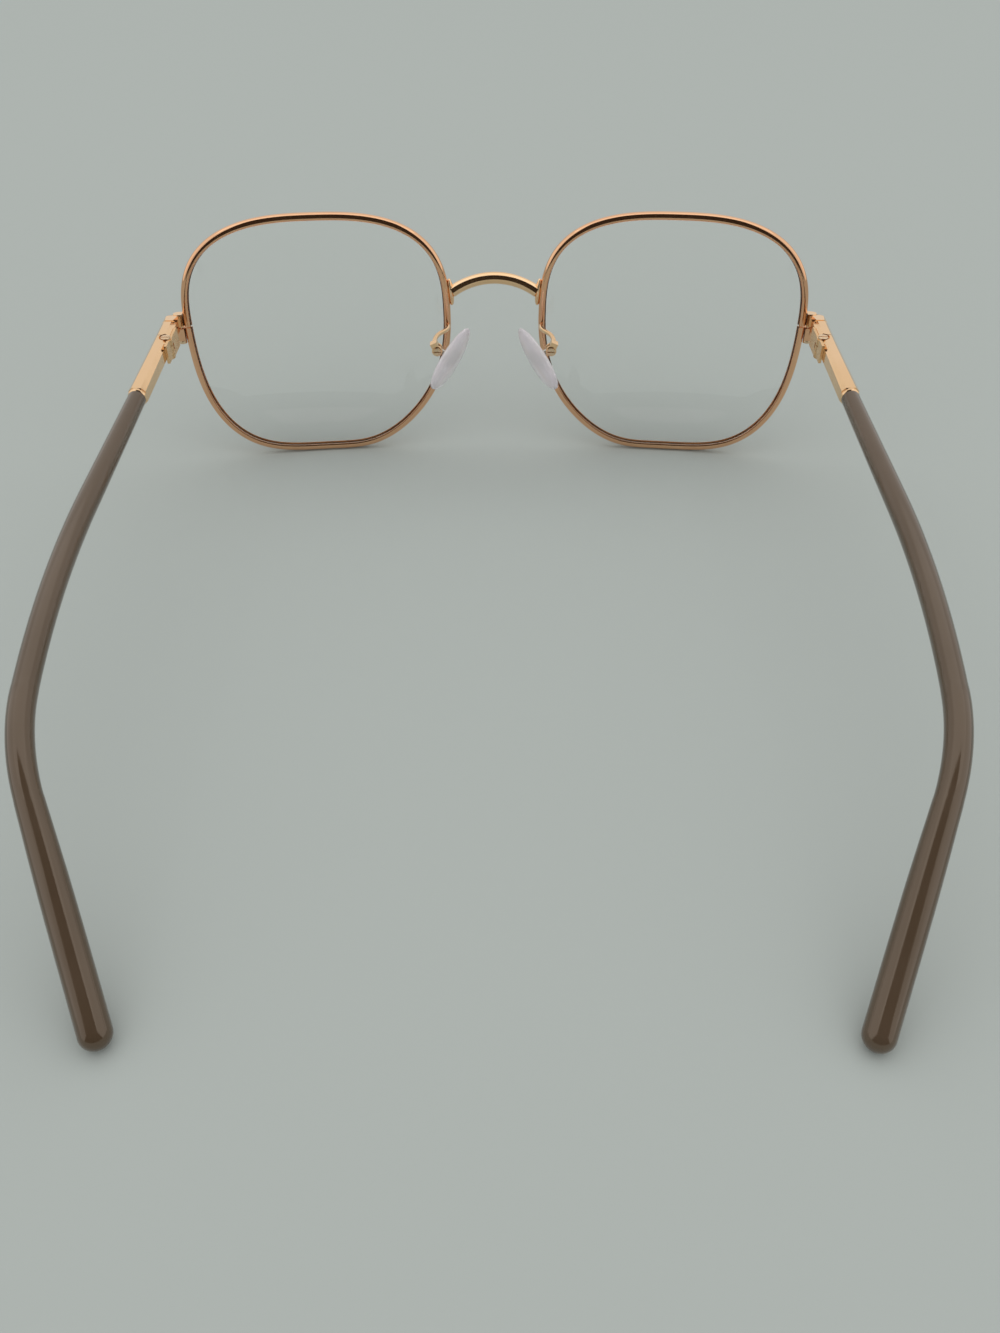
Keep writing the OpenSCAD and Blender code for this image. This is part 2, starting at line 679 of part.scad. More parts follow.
// Space of the rim beside a foot of the bridge, from one angle above the nose side to one below
space_up = 30;
space_down = 10;
module rim_space() {
    reach = rim_out + seat_gap;
    deep = rim_half + bridge_d;
    on_lens() skin([for (t = [180 - space_up:facet:180 + space_down]) [
        wire_point(t, -bridge_d, deep), wire_point(t, reach, deep),
        wire_point(t, reach, -deep), wire_point(t, -bridge_d, -deep)
    ]]);
}

// Pad arm: a wire from the back of the rim to the box that holds the pad
module pad_arm() {
    away = lens_turn([0, 0, -1]);
    reach = norm(arm_end - arm_start) * arm_reach;
    c1 = arm_start + reach * away;
    c2 = arm_end - [0, reach, 0];
    function way(u) = pow(1 - u, 3) * arm_start + 3 * u * pow(1 - u, 2) * c1
        + 3 * u * u * (1 - u) * c2 + u * u * u * arm_end;
    function heading(u) = let (d = way(min(u + 0.01, 1)) - way(max(u - 0.01, 0))) d / norm(d);
    function ring(u) = let (d = u == 0 ? away : heading(u), s = cross(d, [0, 0, 1]) / norm(cross(d, [0, 0, 1])),
        v = cross(d, s)) [for (a = [0:36:324]) way(u) + arm_r * (cos(a) * s + sin(a) * v)];
    skin([for (u = [0:0.1:1]) ring(u)]);
    difference() {
        translate(pad_axis) rotate([0, -web_rise, 0]) {
            for (low = [-box_half, box_half - cheek_t])
                translate([0, low + cheek_t, 0]) rotate([90, 0, 0]) linear_extrude(cheek_t) {
                    circle(box_r, $fn = round_fn);
                    translate([0, -web_half]) square([web_in + web_t, 2 * web_half]);
                }
            translate([web_in, -box_half, -web_half]) cube([web_t, 2 * box_half, 2 * web_half]);
        }
        on_pad_screw(-box_half - past, box_half + past, pad_screw_r + seat_gap);
    }
}
module on_pad_screw(low, high, r) {
    translate(pad_axis + [0, low, 0]) rotate([-90, 0, 0]) cylinder(h = high - low, r = r, $fn = small_fn);
}
module pad_screw() {
    difference() {
        union() {
            on_pad_screw(-box_half, box_half + pad_head_h / 2, pad_screw_r);
            on_pad_screw(box_half, box_half + pad_head_h, pad_head_r);
        }
        translate(pad_axis + [-past, box_half + pad_head_h - slot_deep, -slot_w / 2]) cube([2 * past, past, slot_w]);
    }
}

// Frame of the left pad: origin in the middle of its plate, -X to the nose, Z up along the pad
module on_pad() {
    translate(pad_axis + neck_len * neck_dir) rotate([pad_slant, 0, 0]) rotate([0, -pad_lean, 0])
        rotate([0, 0, -pad_splay]) children();
}
// Metal core of the pad: a plate in the pad, a neck and a tongue on the pad screw
module pad_core() {
    difference() {
        union() {
            on_pad_screw(-tongue_t / 2, tongue_t / 2, tongue_r);
            translate(pad_axis) rotate([0, -neck_fall, 0])
                translate([-neck_len, -tongue_t / 2, -neck_h / 2]) cube([neck_len, tongue_t, neck_h]);
            on_pad() translate([-plate_t / 2, 0, 0]) rotate([0, 90, 0])
                cylinder(h = plate_t, r = plate_r, $fn = small_fn);
        }
        on_pad_screw(-tongue_t, tongue_t, pad_screw_r + run_gap);
    }
}
// Silicone pad: a flattened drop, fuller at its foot, with a seat for the plate in its back
module nose_pad() {
    steps = 10;
    drop = -0.5;
    blunt = 2.4;
    fuller = 0.16;
    cap = 0.995;
    function girth(z) = pow(1 - pow(abs(z), blunt), 1 / blunt) * (1 - fuller * z);
    difference() {
        on_pad() skin([for (k = [0:steps]) let (z = -cos(180 * k / steps) * cap, g = girth(z)) [
            for (a = [0:30:330]) [
                plate_t / 2 - pad_t / 2 + pad_t / 2 * cos(a) * sqrt(g),
                pad_w / 2 * sin(a) * g, drop + pad_len / 2 * z
            ]
        ]]);
        on_pad() translate([-plate_t / 2 - seat_gap, 0, 0]) rotate([0, 90, 0])
            cylinder(h = pad_t, r = plate_r + seat_gap, $fn = small_fn);
    }
}

module bridge() color(bright_gold) left() bridge_piece();
module left_rim() color(gold) left() rim();
module right_rim() color(gold) right() rim();
module left_lens() color(clear) left() lens();
module right_lens() color(clear) right() lens();
module left_pad_arm() color(gold) left() pad_arm();
module right_pad_arm() color(gold) right() pad_arm();
module left_pad_screw() color(bright_gold) left() pad_screw();
module right_pad_screw() color(bright_gold) right() pad_screw();
module left_nose_pad() color(silicone) left() nose_pad();
module right_nose_pad() color(silicone) right() nose_pad();
module left_pad_core() color(steel) left() pad_core();
module right_pad_core() color(steel) right() pad_core();
module left_endpiece() color(bright_gold) left() endpiece();
module right_endpiece() color(bright_gold) right() endpiece();
module left_rim_lock() color(gold) left() rim_lock();
module right_rim_lock() color(gold) right() rim_lock();
module left_rim_screw() color(steel) left() rim_screw();
module right_rim_screw() color(steel) right() rim_screw();
module left_front_hinge() color(gold) left() front_hinge();
module right_front_hinge() color(gold) right() front_hinge();
module left_hinge_screw() color(steel) left() hinge_screw();
module right_hinge_screw() color(steel) right() hinge_screw();
module left_temple_hinge() color(gold) left() temple_hinge();
module right_temple_hinge() color(gold) right() temple_hinge();
module left_temple_front() color(bright_gold) left() temple_front();
module right_temple_front() color(bright_gold) right() temple_front();
module left_temple_core() color(steel) left() temple_core();
module right_temple_core() color(steel) right() temple_core();
module left_temple_sleeve() color(taupe) left() temple_sleeve();
module right_temple_sleeve() color(taupe) right() temple_sleeve();

bridge();
left_rim();
right_rim();
left_lens();
right_lens();
left_pad_arm();
right_pad_arm();
left_pad_screw();
right_pad_screw();
left_nose_pad();
right_nose_pad();
left_pad_core();
right_pad_core();
left_endpiece();
right_endpiece();
left_rim_lock();
right_rim_lock();
left_rim_screw();
right_rim_screw();
left_front_hinge();
right_front_hinge();
left_hinge_screw();
right_hinge_screw();
left_temple_hinge();
right_temple_hinge();
left_temple_front();
right_temple_front();
left_temple_core();
right_temple_core();
left_temple_sleeve();
right_temple_sleeve();
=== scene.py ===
# Square wire-rim eyeglasses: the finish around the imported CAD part.
# X is the wearer's left, Y the back along the temples, Z up. Sizes here are in millimetres.
import json
import math

import bpy
from mathutils import Matrix, Vector

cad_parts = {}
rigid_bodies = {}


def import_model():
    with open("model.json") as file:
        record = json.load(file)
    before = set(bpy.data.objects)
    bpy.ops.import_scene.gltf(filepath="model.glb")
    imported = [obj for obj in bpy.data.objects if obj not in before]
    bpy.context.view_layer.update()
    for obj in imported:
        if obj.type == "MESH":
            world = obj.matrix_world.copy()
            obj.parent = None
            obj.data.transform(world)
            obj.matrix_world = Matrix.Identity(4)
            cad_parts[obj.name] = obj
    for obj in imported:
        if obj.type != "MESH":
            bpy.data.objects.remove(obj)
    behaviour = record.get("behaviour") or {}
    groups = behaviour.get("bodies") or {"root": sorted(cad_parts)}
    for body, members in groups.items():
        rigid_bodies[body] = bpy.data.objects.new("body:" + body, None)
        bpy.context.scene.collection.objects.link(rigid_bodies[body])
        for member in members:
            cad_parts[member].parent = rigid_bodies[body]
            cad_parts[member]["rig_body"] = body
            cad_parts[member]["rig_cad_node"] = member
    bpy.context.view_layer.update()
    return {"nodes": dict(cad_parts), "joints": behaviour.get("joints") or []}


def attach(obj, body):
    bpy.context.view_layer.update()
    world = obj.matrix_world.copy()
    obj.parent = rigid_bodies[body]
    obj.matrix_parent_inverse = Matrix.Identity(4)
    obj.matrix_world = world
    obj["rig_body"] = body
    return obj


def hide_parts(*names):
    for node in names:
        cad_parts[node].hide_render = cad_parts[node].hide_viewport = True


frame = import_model()
nodes = frame["nodes"]
mm = 0.001
sides = ("left", "right")
jointPlace = {joint["name"]: Vector(joint["pos_m"]) / mm for joint in frame["joints"]}
print("frame loaded with", len(nodes), "nodes")


# Selection and edit mode

sameSpot = 0.002  # corners closer than this are merged


def selectOnly(piece):
    bpy.ops.object.select_all(action="DESELECT")
    piece.select_set(True)
    bpy.context.view_layer.objects.active = piece


def applyPlace(piece):
    selectOnly(piece)
    bpy.ops.object.transform_apply(location=True, rotation=True, scale=True)


def editMesh(piece, *steps):  # each step is a function that runs in edit mode
    selectOnly(piece)
    bpy.ops.object.mode_set(mode="EDIT")
    bpy.ops.mesh.select_all(action="SELECT")
    for step in steps:
        step()
    bpy.ops.object.mode_set(mode="OBJECT")


def selectEdges(piece, wanted):  # leaves edit mode on; wanted is asked with the places of an edge's two ends
    selectOnly(piece)
    bpy.ops.object.mode_set(mode="EDIT")
    bpy.ops.mesh.select_mode(type="EDGE")
    bpy.ops.mesh.select_all(action="DESELECT")
    bpy.ops.object.mode_set(mode="OBJECT")
    places = [vertex.co for vertex in piece.data.vertices]
    for edge in piece.data.edges:
        edge.select = wanted(*(places[i] for i in edge.vertices))
    bpy.ops.object.mode_set(mode="EDIT")


def mergeDoubles():
    bpy.ops.mesh.remove_doubles(threshold=sameSpot * mm)


def faceOut():
    bpy.ops.mesh.select_all(action="SELECT")
    mergeDoubles()
    bpy.ops.mesh.normals_make_consistent(inside=False)


def applyModifier(piece, kind, **values):
    selectOnly(piece)
    modifier = piece.modifiers.new(kind.title(), kind)
    for key, value in values.items():
        setattr(modifier, key, value)
    bpy.ops.object.modifier_apply(modifier=modifier.name)


def smooth(piece, angle):
    selectOnly(piece)
    bpy.ops.object.shade_smooth_by_angle(angle=math.radians(angle))


def copied(piece, name):
    twin = piece.copy()
    twin.data = piece.data.copy()
    twin.name = twin.data.name = name
    bpy.context.collection.objects.link(twin)
    return twin


def mirrored(piece, name, smoothAngle):
    twin = copied(piece, name)
    twin.scale.x = -1
    applyPlace(twin)
    editMesh(twin, faceOut)
    smooth(twin, smoothAngle)
    return twin


def placeOn(piece, body, slotName, material, *stoodFor):
    piece.data.materials.clear()
    piece.data.materials.append(material)
    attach(piece, body)
    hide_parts(*stoodFor)


def turned(axis, angle):
    return Matrix.Rotation(math.radians(angle), 4, axis)


# Wires: a round or a given section drawn along points

def sweep(name, points, radii=None, profile=None, roundness=8):
    path = bpy.data.curves.new(name, "CURVE")
    path.dimensions = "3D"
    path.use_fill_caps = True
    if profile:
        path.bevel_mode = "OBJECT"
        path.bevel_object = profile
        path.twist_mode = "Z_UP"
    else:
        path.bevel_depth = mm
        path.bevel_resolution = roundness
    spline = path.splines.new("POLY")
    spline.points.add(len(points) - 1)
    for i, (knot, place) in enumerate(zip(spline.points, points)):
        knot.co = (*(Vector(place) * mm), 1)
        knot.radius = radii[i] if radii else 1
    piece = bpy.data.objects.new(name, path)
    bpy.context.collection.objects.link(piece)
    selectOnly(piece)
    bpy.ops.object.convert(target="MESH")
    piece = bpy.context.object
    editMesh(piece, faceOut)
    return piece


def crossSection(name, outline):  # a closed flat profile for a sweep
    flat = bpy.data.curves.new(name, "CURVE")
    flat.dimensions = "2D"
    flat.fill_mode = "NONE"
    spline = flat.splines.new("POLY")
    spline.points.add(len(outline) - 1)
    for knot, (across, up) in zip(spline.points, outline):
        knot.co = (across * mm, up * mm, 0, 1)
    spline.use_cyclic_u = True
    shape = bpy.data.objects.new(name, flat)
    bpy.context.collection.objects.link(shape)
    return shape


# Shared effects, as node groups

def makeGroup(name, inputs, outputs):
    group = bpy.data.node_groups.new(name, "ShaderNodeTree")
    for label, kind, value in inputs:
        socket = group.interface.new_socket(name=label, in_out="INPUT", socket_type=kind)
        socket.default_value = value
    for label, kind in outputs:
        group.interface.new_socket(name=label, in_out="OUTPUT", socket_type=kind)
    return group, group.nodes.new("NodeGroupInput"), group.nodes.new("NodeGroupOutput")


def addNode(tree, kind, values=None, **settings):
    node = tree.nodes.new(kind)
    for key, value in settings.items():
        setattr(node, key, value)
    for key, value in (values or {}).items():
        node.inputs[key].default_value = value
    return node


handlingMarks = {
    "patches": {"Detail": 3.0, "Roughness": 0.6}, "spread": {"From Min": 0.35, "From Max": 0.7},
    "hairlines": {"Detail": 2.0, "Distortion": 1.5}, "hairlineShare": 9.0,  # times finer than the patches
}


def makeWear():  # fine handling marks: where the polish is a little duller, and hairlines
    tree, enter, leave = makeGroup(
        "handlingWear",
        [("Scale", "NodeSocketFloat", 400), ("Polished", "NodeSocketFloat", 0.1),
         ("Dull", "NodeSocketFloat", 0.3)],
        [("Roughness", "NodeSocketFloat"), ("Height", "NodeSocketFloat")])
    place = addNode(tree, "ShaderNodeTexCoord")
    patches = addNode(tree, "ShaderNodeTexNoise", handlingMarks["patches"])
    spread = addNode(tree, "ShaderNodeMapRange", handlingMarks["spread"])
    finer = addNode(tree, "ShaderNodeMath", {1: handlingMarks["hairlineShare"]}, operation="MULTIPLY")
    hairlines = addNode(tree, "ShaderNodeTexNoise", handlingMarks["hairlines"])
    links = tree.links
    links.new(place.outputs["Object"], patches.inputs["Vector"])
    links.new(place.outputs["Object"], hairlines.inputs["Vector"])
    links.new(enter.outputs["Scale"], patches.inputs["Scale"])
    links.new(enter.outputs["Scale"], finer.inputs[0])
    links.new(finer.outputs[0], hairlines.inputs["Scale"])
    links.new(patches.outputs["Fac"], spread.inputs["Value"])
    links.new(enter.outputs["Polished"], spread.inputs["To Min"])
    links.new(enter.outputs["Dull"], spread.inputs["To Max"])
    links.new(spread.outputs["Result"], leave.inputs["Roughness"])
    links.new(hairlines.outputs["Fac"], leave.inputs["Height"])
    return tree


toneClouds = {"cloud": {"Detail": 4.0}, "spread": {"From Min": 0.3, "From Max": 0.7}}


def makeDrift():  # slow change between two tones over a piece
    tree, enter, leave = makeGroup(
        "toneDrift",
        [("Scale", "NodeSocketFloat", 60), ("Tone A", "NodeSocketColor", (1, 1, 1, 1)),
         ("Tone B", "NodeSocketColor", (1, 1, 1, 1))],
        [("Color", "NodeSocketColor")])
    place = addNode(tree, "ShaderNodeTexCoord")
    cloud = addNode(tree, "ShaderNodeTexNoise", toneClouds["cloud"])
    spread = addNode(tree, "ShaderNodeMapRange", toneClouds["spread"])
    mix = addNode(tree, "ShaderNodeMix", data_type="RGBA")
    links = tree.links
    links.new(place.outputs["Object"], cloud.inputs["Vector"])
    links.new(enter.outputs["Scale"], cloud.inputs["Scale"])
    links.new(cloud.outputs["Fac"], spread.inputs["Value"])
    links.new(spread.outputs["Result"], mix.inputs["Factor"])
    links.new(enter.outputs["Tone A"], mix.inputs["A"])
    links.new(enter.outputs["Tone B"], mix.inputs["B"])
    links.new(mix.outputs["Result"], leave.inputs["Color"])
    return tree


wearGroup = makeWear()
driftGroup = makeDrift()

bumpHeight = 0.02
finishes = {
    "roseGoldWire": {
        "shader": {"Metallic": 1.0}, "toneA": (0.80, 0.45, 0.26), "toneB": (0.86, 0.51, 0.30),
        "driftScale": 90, "wearScale": 350, "polished": 0.06, "dull": 0.15, "bump": 0.04},
    "paleGold": {
        "shader": {"Metallic": 1.0}, "toneA": (0.90, 0.60, 0.34), "toneB": (0.94, 0.65, 0.40),
        "driftScale": 90, "wearScale": 350, "polished": 0.07, "dull": 0.17, "bump": 0.04},
    "hingeGold": {
        "shader": {"Metallic": 1.0}, "toneA": (0.82, 0.52, 0.26), "toneB": (0.88, 0.58, 0.32),
        "driftScale": 160, "wearScale": 700, "polished": 0.16, "dull": 0.32, "bump": 0.08},
    "screwGold": {
        "shader": {"Metallic": 1.0}, "toneA": (0.78, 0.56, 0.36), "toneB": (0.84, 0.64, 0.44),
        "driftScale": 300, "wearScale": 900, "polished": 0.18, "dull": 0.34, "bump": 0.08},
    "springSteel": {
        "shader": {"Metallic": 1.0}, "toneA": (0.60, 0.59, 0.57), "toneB": (0.68, 0.67, 0.65),
        "driftScale": 200, "wearScale": 800, "polished": 0.25, "dull": 0.4, "bump": 0.1},
    "taupeAcetate": {
        "shader": {"IOR": 1.62, "Specular Tint": (1.0, 0.84, 0.68, 1),
                   "Coat Weight": 0.3, "Coat Roughness": 0.08},
        "toneA": (0.068, 0.044, 0.026), "toneB": (0.084, 0.056, 0.036),
        "driftScale": 70, "wearScale": 260, "polished": 0.10, "dull": 0.20, "bump": 0.03},
    "clearSilicone": {
        "shader": {"IOR": 1.41, "Transmission Weight": 0.45, "Subsurface Weight": 0.25,
                   "Subsurface Radius": (0.003, 0.003, 0.003), "Subsurface Scale": 1.0,
                   "Coat Weight": 0.5, "Coat Roughness": 0.05},
        "toneA": (0.97, 0.905, 0.985), "toneB": (0.99, 0.95, 0.99),
        "driftScale": 120, "wearScale": 500, "polished": 0.05, "dull": 0.16, "bump": 0.06},
    "demoLens": {
        "shader": {"IOR": 1.49, "Transmission Weight": 1.0},
        "toneA": (0.985, 0.99, 0.985), "toneB": (0.99, 0.992, 0.99),
        "driftScale": 20, "wearScale": 60, "polished": 0.0, "dull": 0.012, "bump": 0.0},
    # the lens bevel's peach tones are a painted reflection of the gold rim seen in the ground bevel, not the
    # colour of the glass
    "groundEdgePaintedReflection": {
        "shader": {"IOR": 1.49}, "toneA": (0.82, 0.66, 0.54), "toneB": (0.88, 0.74, 0.62),
        "driftScale": 200, "wearScale": 900, "polished": 0.45, "dull": 0.65, "bump": 0.1},
}


def makeFinish(name, look):
    material = bpy.data.materials.new(name)
    material.use_nodes = True
    tree = material.node_tree
    shader = tree.nodes["Principled BSDF"]
    for key, value in look["shader"].items():
        shader.inputs[key].default_value = value
    drift = addNode(tree, "ShaderNodeGroup", node_tree=driftGroup)
    drift.inputs["Scale"].default_value = look["driftScale"]
    drift.inputs["Tone A"].default_value = (*look["toneA"], 1)
    drift.inputs["Tone B"].default_value = (*look["toneB"], 1)
    wear = addNode(tree, "ShaderNodeGroup", node_tree=wearGroup)
    wear.inputs["Scale"].default_value = look["wearScale"]
    wear.inputs["Polished"].default_value = look["polished"]
    wear.inputs["Dull"].default_value = look["dull"]
    bump = addNode(tree, "ShaderNodeBump", {"Strength": look["bump"], "Distance": bumpHeight * mm})
    tree.links.new(drift.outputs["Color"], shader.inputs["Base Color"])
    tree.links.new(wear.outputs["Roughness"], shader.inputs["Roughness"])
    tree.links.new(wear.outputs["Height"], bump.inputs["Height"])
    tree.links.new(bump.outputs["Normal"], shader.inputs["Normal"])
    return material


finish = {name: makeFinish(name, look) for name, look in finishes.items()}
print("finishes made:", len(finish))


# Outline of the lens and the place of the front

front = {
    "halfWidth": 25.5, "halfHeight": 23.2, "curve": 118.0,
    "pole": 3.6,  # how far the widest place lies above the middle
    "upperOuter": 2.75, "upperInner": 2.95,  # how square each corner is
    "lowerInner": 3.5, "lowerOuter": 3.75,
    "taperOuter": 0.16, "taperInner": 0.35,  # how much each side draws in below
    "place": (35.25, -69.1413, 24.117), "wrap": 4.9, "lean": 7.5,
}
onLens = (Matrix.Translation(Vector(front["place"]) * mm)
          @ turned("Z", front["wrap"]) @ turned("X", 90 + front["lean"]))


def edgePoint(turn):
    across, up = math.cos(math.radians(turn)), math.sin(math.radians(turn))
    level = "upper" if up >= 0 else "lower"
    side = "Outer" if across >= 0 else "Inner"
    power = front[level + side]
    high = front["halfHeight"] + (-front["pole"] if up >= 0 else front["pole"])
    reach = (abs(across / front["halfWidth"]) ** power + abs(up / high) ** power) ** (-1 / power)
    taper = 0 if up >= 0 else front["taper" + side] * (reach * up / high) ** 2
    return Vector((reach * across * (1 - taper), front["pole"] + reach * up))


def outline(turn, out):  # a point of the lens's edge, moved out square to it
    nearby = 0.5
    along = edgePoint(turn + nearby) - edgePoint(turn - nearby)
    return edgePoint(turn) + out * Vector((along.y, -along.x)) / along.length


def crown(point):  # height of the lens's curve over the plane of its edge
    radius = front["curve"]
    return math.sqrt(radius ** 2 - point.length_squared) - math.sqrt(radius ** 2 - front["halfHeight"] ** 2)


def wirePoint(turn, out):  # a point beside the edge, at the depth that the curved wire has there
    flat = outline(turn, out)
    return Vector((flat.x, flat.y, crown(edgePoint(turn))))


# Rims: one grooved wire round each lens, open at the outer side

rim = {
    "out": 1.0, "half": 0.95, "gap": 0.3, "step": 1.5, "smooth": 50,
    "round": 0.8, "cornerPower": 2.6, "faceStep": 10,  # the rounded outer face
    "grooveDepth": 0.05, "grooveHalf": 0.06,  # lips: how far in, and share of the half width
    "lips": [(0.0, 1.0), (-0.17, 0.97), (-0.26, 0.9), (-0.3, 0.8), (-0.28, 0.7), (-0.23, 0.64)],
}


def rimOutline():
    power = 2 / rim["cornerPower"]
    face = []
    for angle in range(-90, 91, rim["faceStep"]):
        across, up = math.cos(math.radians(angle)), math.sin(math.radians(angle))
        face.append((rim["out"] - rim["round"] + rim["round"] * across ** power,
                     rim["half"] * math.copysign(abs(up) ** power, up)))
    lip = [(depth, share * rim["half"]) for depth, share in rim["lips"]]
    groove = [(rim["grooveDepth"], rim["grooveHalf"]), (rim["grooveDepth"], -rim["grooveHalf"])]
    return face + lip + groove + [(depth, -up) for depth, up in reversed(lip)]


def makeRim():
    profile = crossSection("rimSection", rimOutline())
    opening = math.degrees(rim["gap"] / 2 / front["halfWidth"])
    count = round(360 / rim["step"])
    turns = [opening] + [i * rim["step"] for i in range(1, count)] + [360 - opening]
    piece = sweep("rimLeft", [wirePoint(turn, 0) for turn in turns], profile=profile)
    bpy.data.objects.remove(profile)
    piece.matrix_world = onLens
    applyPlace(piece)
    smooth(piece, rim["smooth"])
    return piece


rimLeft = makeRim()
rimPieces = {"left": rimLeft, "right": mirrored(rimLeft, "rimRight", rim["smooth"])}
print("rims made")


# Lenses: flat outline, inset in rings, bent to the base curve and given its thickness and edge

lens = {
    "play": 0.03, "bevel": 0.3, "thickness": 1.6, "points": 180, "smooth": 25,
    "rings": (0.93, 0.8, 0.65, 0.48, 0.3, 0.14), "ringInset": 0.001,
    "edgeRise": 1.2, "edgeRun": 0.6,  # an edge across the rim of the lens rises more and runs less than this
    "paintedReflectionTo": 0.8,  # a face is ground and gets the painted reflection of the gold rim where its normal is less in line with the lens's axis than this
}


def insetRings():
    before = 1
    for share in lens["rings"]:
        bpy.ops.mesh.inset(thickness=lens["ringInset"] * mm)
        bpy.ops.transform.resize(value=(share / before, share / before, 1), center_override=(0, 0, 0))
        before = share
    bpy.ops.mesh.poke()


def acrossLensRim(a, b):
    return abs((a - b).z) > lens["edgeRise"] * mm and (a - b).xy.length < lens["edgeRun"] * mm


def makeLens():
    bpy.ops.object.select_all(action="DESELECT")
    bpy.ops.mesh.primitive_circle_add(
        vertices=lens["points"], radius=front["halfWidth"] * mm, fill_type="NGON")
    piece = bpy.context.object
    piece.name = piece.data.name = "lensLeft"
    for i, vertex in enumerate(piece.data.vertices):
        flat = outline(i * 360 / lens["points"], -lens["play"] - lens["bevel"])
        vertex.co = (flat.x * mm, flat.y * mm, 0)
    editMesh(piece, insetRings)
    for vertex in piece.data.vertices:
        vertex.co.z = crown(vertex.co.xy / mm) * mm
    applyModifier(piece, "SOLIDIFY", thickness=lens["thickness"] * mm, offset=0)
    selectEdges(piece, acrossLensRim)
    bpy.ops.mesh.subdivide(number_cuts=1)  # the middle of that rim becomes the tongue in the groove
    bpy.ops.transform.shrink_fatten(value=lens["bevel"] * mm)
    bpy.ops.mesh.select_mode(type="VERT")
    bpy.ops.object.mode_set(mode="OBJECT")
    editMesh(piece, faceOut)
    piece.matrix_world = onLens
    applyPlace(piece)
    smooth(piece, lens["smooth"])
    return piece


def grindEdgePaintReflection(piece, side):  # the bevel of the lens is ground, not polished, and gets a flat peach tone, a painted reflection of the gold rim in its groove
    axis = onLens.to_3x3() @ Vector((0, 0, 1))
    if side == "right":
        axis.x = -axis.x
    piece.data.materials.append(finish["groundEdgePaintedReflection"])
    for face in piece.data.polygons:
        if abs(face.normal @ axis) < lens["paintedReflectionTo"]:
            face.material_index = 1


lensLeft = makeLens()
lensPieces = {"left": lensLeft, "right": mirrored(lensLeft, "lensRight", lens["smooth"])}
print("lenses made")


# Temple sleeves: one swept bar, thicker towards the end, with a round tip

temple = {
    "seamFromHinge": (0.9, -0.8), "seamHeight": 29.096,  # where the bar starts: across and back from the hinge
    "splay": 2.2, "droop": 2.7522, "barLength": 19.0, "straight": 49.0,
    "longRadius": 250.0, "longTurn": 9.0, "longSide": 59.0, "earGap": 1.0,  # side: how far a bend rolls inward
    "earRadius": 33.0, "earTurn": 29.0, "earSide": 35.0, "end": 31.0, "grip": 20.0,
    "radius": {"front": 1.6, "middle": 1.85, "ear": 1.9, "tip": 2.2}, "tipHole": 0.004,
    "endSteps": 12, "tipSteps": 12, "easings": 3, "roundness": 10, "smooth": 50,
}


def ahead(length):
    return Matrix.Translation((0, length, 0))


def bend(side, radius, angle):
    return (turned("Y", side) @ Matrix.Translation((0, 0, -radius)) @ turned("X", -angle)
            @ Matrix.Translation((0, 0, radius)) @ turned("Y", -side))


def straightWay(share):
    return ahead(share * (temple["straight"] - temple["barLength"]))


def longWay(share):
    return bend(temple["longSide"], temple["longRadius"], temple["longTurn"] * share)


def gapWay(share):
    return ahead(share * temple["earGap"])


def earWay(share):
    return bend(temple["earSide"], temple["earRadius"], temple["earTurn"] * share)


stretches = [  # in order from the metal bar: the way, its steps, and where its first and last radius are
    (straightWay, 21, "front", "middle"), (longWay, 25, "middle", "middle"),
    (gapWay, 4, "middle", "ear"), (earWay, 31, "ear", "ear"),
]


def templeLine():  # points of the centre line behind the metal bar, with the radius of the sleeve at each
    hinge = jointPlace["left_temple_fold"]
    across, back = temple["seamFromHinge"]
    here = (Matrix.Translation((hinge.x + across, hinge.y + back, temple["seamHeight"]))
            @ turned("Z", -temple["splay"]) @ turned("X", -temple["droop"]) @ ahead(temple["barLength"]))
    radius = temple["radius"]
    line = []
    for way, steps, first, last in stretches:
        for i in range(steps):
            share = i / steps
            thickness = radius[first] + share * (radius[last] - radius[first])
            line.append(((here @ way(share)).translation, thickness))
        here = here @ way(1)
    for i in range(temple["endSteps"] + 1):
        reached = i / temple["endSteps"] * temple["end"]
        share = min(1, reached / (temple["end"] - temple["grip"]))
        thickness = radius["ear"] + share * (radius["tip"] - radius["ear"])
        line.append(((here @ ahead(reached)).translation, thickness))
    for i in range(1, temple["tipSteps"] + 1):  # the round tip
        angle = math.radians(i * 90 / temple["tipSteps"])
        place = here @ ahead(temple["end"] + radius["tip"] * math.sin(angle))
        line.append((place.translation, max(radius["tip"] * math.cos(angle), temple["tipHole"])))
    return line


def makeSleeve():
    line = templeLine()
    radii = [radius for _, radius in line]
    for _ in range(temple["easings"]):  # eases the small steps in thickness, not the tip
        for i in range(1, len(radii) - temple["tipSteps"] - 2):
            radii[i] = sum(radii[i - 1:i + 2]) / 3
    piece = sweep("sleeveLeft", [place for place, _ in line], radii=radii, roundness=temple["roundness"])
    smooth(piece, temple["smooth"])
    return piece


sleeveLeft = makeSleeve()
sleevePieces = {"left": sleeveLeft, "right": mirrored(sleeveLeft, "sleeveRight", temple["smooth"])}
print("sleeves made")


# Nose pads: a cube rounded to a flat drop, fuller at its foot

pad = {
    "size": (2.6, 6.8, 14.0), "swell": 1.16, "rounding": 5, "taper": -0.22, "smooth": 60,
    "lean": 30.0, "splay": 30.0, "slant": 9.0,
    "plate": 0.8, "reach": 1.95,  # thickness of the metal plate in it, and how far that lies from the screw
    "drop": -0.5,  # how the pad hangs from the middle of the plate
}


